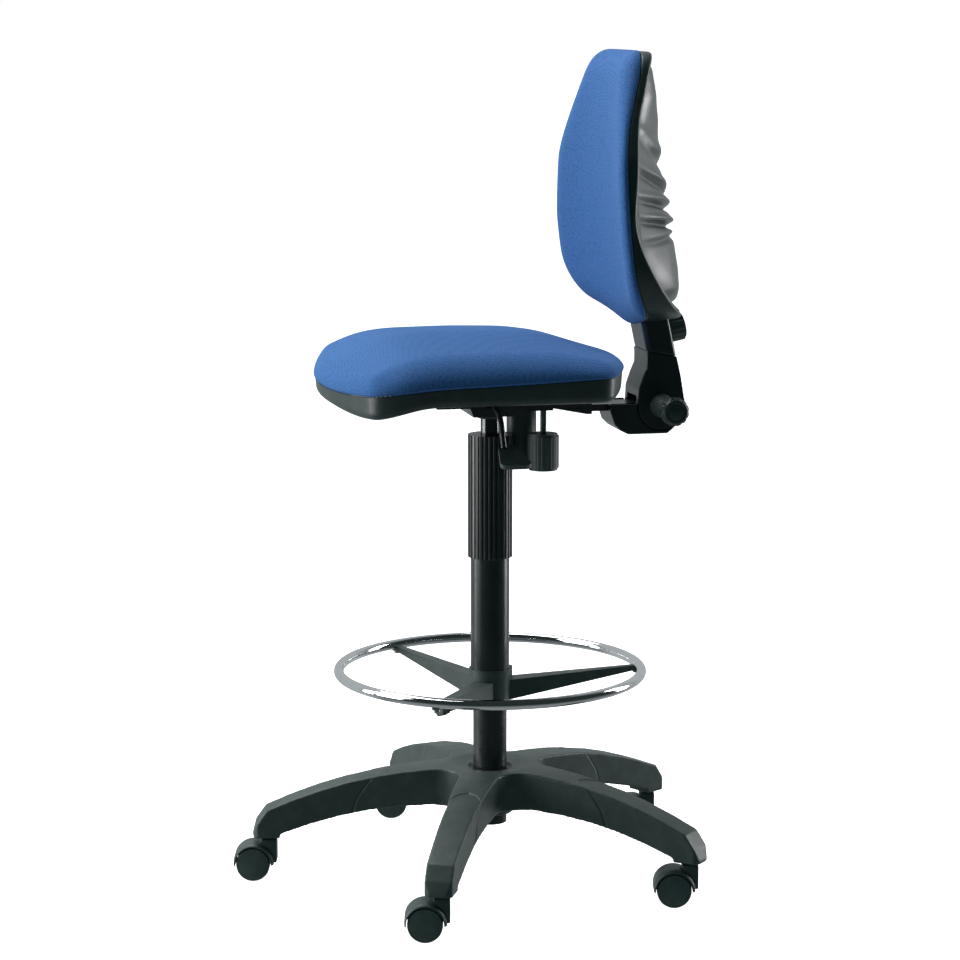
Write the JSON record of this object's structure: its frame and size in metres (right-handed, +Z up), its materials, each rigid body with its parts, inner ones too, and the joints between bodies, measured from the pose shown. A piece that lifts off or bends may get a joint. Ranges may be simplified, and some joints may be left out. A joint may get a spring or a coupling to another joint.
{
  "type": "drafting chair",
  "caption": "Tall swivel drafting chair with blue fabric seat and reclining backrest, gas lift, chrome foot ring and star base on twin-wheel casters.",
  "frame": {"origin": "on the floor, on the axis of the column", "axes": "+Z up; -Y is the chair's front, +X the sitter's left"},
  "size_m": [0.6839, 0.6955, 1.213],
  "materials": {
    "black_nylon": "satin, fine moulded grain",
    "black_wheel": "satin, smooth disc faces",
    "black_shell": "fine leather grain, satin",
    "black_gloss": "glossy black",
    "black_enamel": "semi-gloss black enamel",
    "grey_acetal": "smooth",
    "bright_steel": "bright zinc-plated steel",
    "dark_gas_cylinder": "polished black oxide",
    "chrome_tube": "mirror chrome",
    "blue_fabric": "woven, fine diamond texture",
    "plywood": "raw moulded beech ply",
    "rear_vinyl": "soft silver-black vinyl, folded"
  },
  "bodies": {
    "base": {"star_base": "black_nylon", "caster_sockets": "black_nylon", "gas_tube": "black_enamel", "tube_guide": "grey_acetal", "smooth_sleeve": "black_gloss", "piston_rod": "bright_steel", "rod_bearing": "bright_steel", "rod_clip": "bright_steel"},
    "caster_1": {"caster_hood_1": "black_nylon", "caster_pins_1": "bright_steel"},
    "wheel_left_1": {"wheel_left_1": "black_wheel"},
    "wheel_right_1": {"wheel_right_1": "black_wheel"},
    "caster_2": {"caster_hood_2": "black_nylon", "caster_pins_2": "bright_steel"},
    "wheel_left_2": {"wheel_left_2": "black_wheel"},
    "wheel_right_2": {"wheel_right_2": "black_wheel"},
    "caster_3": {"caster_hood_3": "black_nylon", "caster_pins_3": "bright_steel"},
    "wheel_left_3": {"wheel_left_3": "black_wheel"},
    "wheel_right_3": {"wheel_right_3": "black_wheel"},
    "caster_4": {"caster_hood_4": "black_nylon", "caster_pins_4": "bright_steel"},
    "wheel_left_4": {"wheel_left_4": "black_wheel"},
    "wheel_right_4": {"wheel_right_4": "black_wheel"},
    "caster_5": {"caster_hood_5": "black_nylon", "caster_pins_5": "bright_steel"},
    "wheel_left_5": {"wheel_left_5": "black_wheel"},
    "wheel_right_5": {"wheel_right_5": "black_wheel"},
    "foot_ring": {"ring_spider": "black_nylon", "foot_ring": "chrome_tube", "ring_rivets": "bright_steel"},
    "ring_clamp_knob": {"ring_clamp_knob": "black_nylon"},
    "lift": {"ribbed_sleeve": "black_gloss"},
    "mechanism": {"gas_cylinder": "dark_gas_cylinder", "tilt_housing": "black_enamel", "tilt_pin": "bright_steel", "tilt_spring": "bright_steel", "spring_cup": "black_nylon"},
    "valve_button": {"valve_button": "bright_steel"},
    "tension_knob": {"tension_knob": "black_nylon"},
    "lift_lever": {"lift_lever": "black_enamel", "lift_paddle": "black_nylon"},
    "seat": {"seat_plate": "black_enamel", "seat_board": "plywood", "seat_shell": "black_shell", "seat_cushion": "blue_fabric", "seat_screws": "bright_steel", "back_bar": "black_enamel", "bar_cover": "black_nylon"},
    "upright": {"upright_boot": "black_nylon", "upright_sleeve": "black_nylon", "recline_bolt": "bright_steel", "recline_collar": "black_nylon"},
    "recline_knob": {"recline_knob": "black_nylon"},
    "height_knob": {"height_knob": "black_nylon"},
    "backrest": {"height_bar": "black_enamel", "back_board": "plywood", "back_shell": "black_shell", "back_cushion": "blue_fabric", "back_cover": "rear_vinyl"}
  },
  "joints": [
    {"name": "caster_swivel_1", "type": "hinge", "parent": "base", "child": "caster_1", "pos_m": [0.22295, 0.2433, 0.075], "axis": [0, 0, 1], "continuous": true},
    {"name": "wheel_left_spin_1", "type": "hinge", "parent": "caster_1", "child": "wheel_left_1", "pos_m": [0.21818, 0.22182, 0.025], "axis": [0.9763, -0.2164, 0], "continuous": true},
    {"name": "wheel_right_spin_1", "type": "hinge", "parent": "caster_1", "child": "wheel_right_1", "pos_m": [0.21818, 0.22182, 0.025], "axis": [0.9763, -0.2164, 0], "continuous": true},
    {"name": "caster_swivel_2", "type": "hinge", "parent": "base", "child": "caster_2", "pos_m": [-0.1625, 0.28722, 0.075], "axis": [0, 0, 1], "continuous": true},
    {"name": "wheel_left_spin_2", "type": "hinge", "parent": "caster_2", "child": "wheel_left_2", "pos_m": [-0.16726, 0.26574, 0.025], "axis": [0.9763, -0.2164, 0], "continuous": true},
    {"name": "wheel_right_spin_2", "type": "hinge", "parent": "caster_2", "child": "wheel_right_2", "pos_m": [-0.16726, 0.26574, 0.025], "axis": [0.9763, -0.2164, 0], "continuous": true},
    {"name": "caster_swivel_3", "type": "hinge", "parent": "base", "child": "caster_3", "pos_m": [-0.32338, -0.06579, 0.075], "axis": [0, 0, 1], "continuous": true},
    {"name": "wheel_left_spin_3", "type": "hinge", "parent": "caster_3", "child": "wheel_left_3", "pos_m": [-0.32814, -0.08727, 0.025], "axis": [0.9763, -0.2164, 0], "continuous": true},
    {"name": "wheel_right_spin_3", "type": "hinge", "parent": "caster_3", "child": "wheel_right_3", "pos_m": [-0.32814, -0.08727, 0.025], "axis": [0.9763, -0.2164, 0], "continuous": true},
    {"name": "caster_swivel_4", "type": "hinge", "parent": "base", "child": "caster_4", "pos_m": [-0.03736, -0.32788, 0.075], "axis": [0, 0, 1], "continuous": true},
    {"name": "wheel_left_spin_4", "type": "hinge", "parent": "caster_4", "child": "wheel_left_4", "pos_m": [-0.04212, -0.34936, 0.025], "axis": [0.9763, -0.2164, 0], "continuous": true},
    {"name": "wheel_right_spin_4", "type": "hinge", "parent": "caster_4", "child": "wheel_right_4", "pos_m": [-0.04212, -0.34936, 0.025], "axis": [0.9763, -0.2164, 0], "continuous": true},
    {"name": "caster_swivel_5", "type": "hinge", "parent": "base", "child": "caster_5", "pos_m": [0.30029, -0.13685, 0.075], "axis": [0, 0, 1], "continuous": true},
    {"name": "wheel_left_spin_5", "type": "hinge", "parent": "caster_5", "child": "wheel_left_5", "pos_m": [0.29553, -0.15833, 0.025], "axis": [0.9763, -0.2164, 0], "continuous": true},
    {"name": "wheel_right_spin_5", "type": "hinge", "parent": "caster_5", "child": "wheel_right_5", "pos_m": [0.29553, -0.15833, 0.025], "axis": [0.9763, -0.2164, 0], "continuous": true},
    {"name": "foot_ring_slide", "type": "slide", "parent": "base", "child": "foot_ring", "axis": [0, 0, 1], "range_m": [-0.085, 0]},
    {"name": "ring_clamp_turn", "type": "hinge", "parent": "foot_ring", "child": "ring_clamp_knob", "pos_m": [0, 0, 0.266], "axis": [0.5373, -0.8434, 0], "range_deg": [0, 540]},
    {"name": "gas_lift", "type": "slide", "parent": "base", "child": "lift", "axis": [0, 0, 1], "range_m": [-0.14, 0]},
    {"name": "seat_swivel", "type": "hinge", "parent": "lift", "child": "mechanism", "pos_m": [0, 0, 0.6], "axis": [0, 0, 1], "continuous": true},
    {"name": "valve_press", "type": "slide", "parent": "mechanism", "child": "valve_button", "axis": [0, 0, 1], "range_m": [-0.0045, 0]},
    {"name": "lift_lever_pull", "type": "hinge", "parent": "mechanism", "child": "lift_lever", "pos_m": [0.044, -0.01, 0.7145], "axis": [0, -1, 0], "range_deg": [0, 5], "stiffness_Nm_per_rad": 4, "springref_deg": -5.73},
    {"name": "tension_knob_turn", "type": "hinge", "parent": "mechanism", "child": "tension_knob", "pos_m": [0.03, 0.0725, 0.636], "axis": [0, 0, 1], "continuous": true},
    {"name": "seat_tilt", "type": "hinge", "parent": "mechanism", "child": "seat", "pos_m": [0, -0.07, 0.715], "axis": [-1, 0, 0], "range_deg": [0, 5], "stiffness_Nm_per_rad": 80, "springref_deg": -22.92, "deforming": ["tilt_spring"]},
    {"name": "back_recline", "type": "hinge", "parent": "seat", "child": "upright", "pos_m": [0, 0.249, 0.6995], "axis": [-1, 0, 0], "range_deg": [-5, 15]},
    {"name": "recline_knob_turn", "type": "hinge", "parent": "upright", "child": "recline_knob", "pos_m": [0.1, 0.249, 0.6995], "axis": [1, 0, 0], "continuous": true},
    {"name": "height_knob_turn", "type": "hinge", "parent": "upright", "child": "height_knob", "pos_m": [0, 0.24339, 0.80341], "axis": [0, 0.9781, 0.2079], "continuous": true},
    {"name": "back_height", "type": "slide", "parent": "upright", "child": "backrest", "axis": [0, -0.2079, 0.9781], "range_m": [0, 0.065]}
  ],
  "couplings": [
    {"joint": "valve_press", "follows": "lift_lever_pull", "m_per_rad": -0.044}
  ]
}
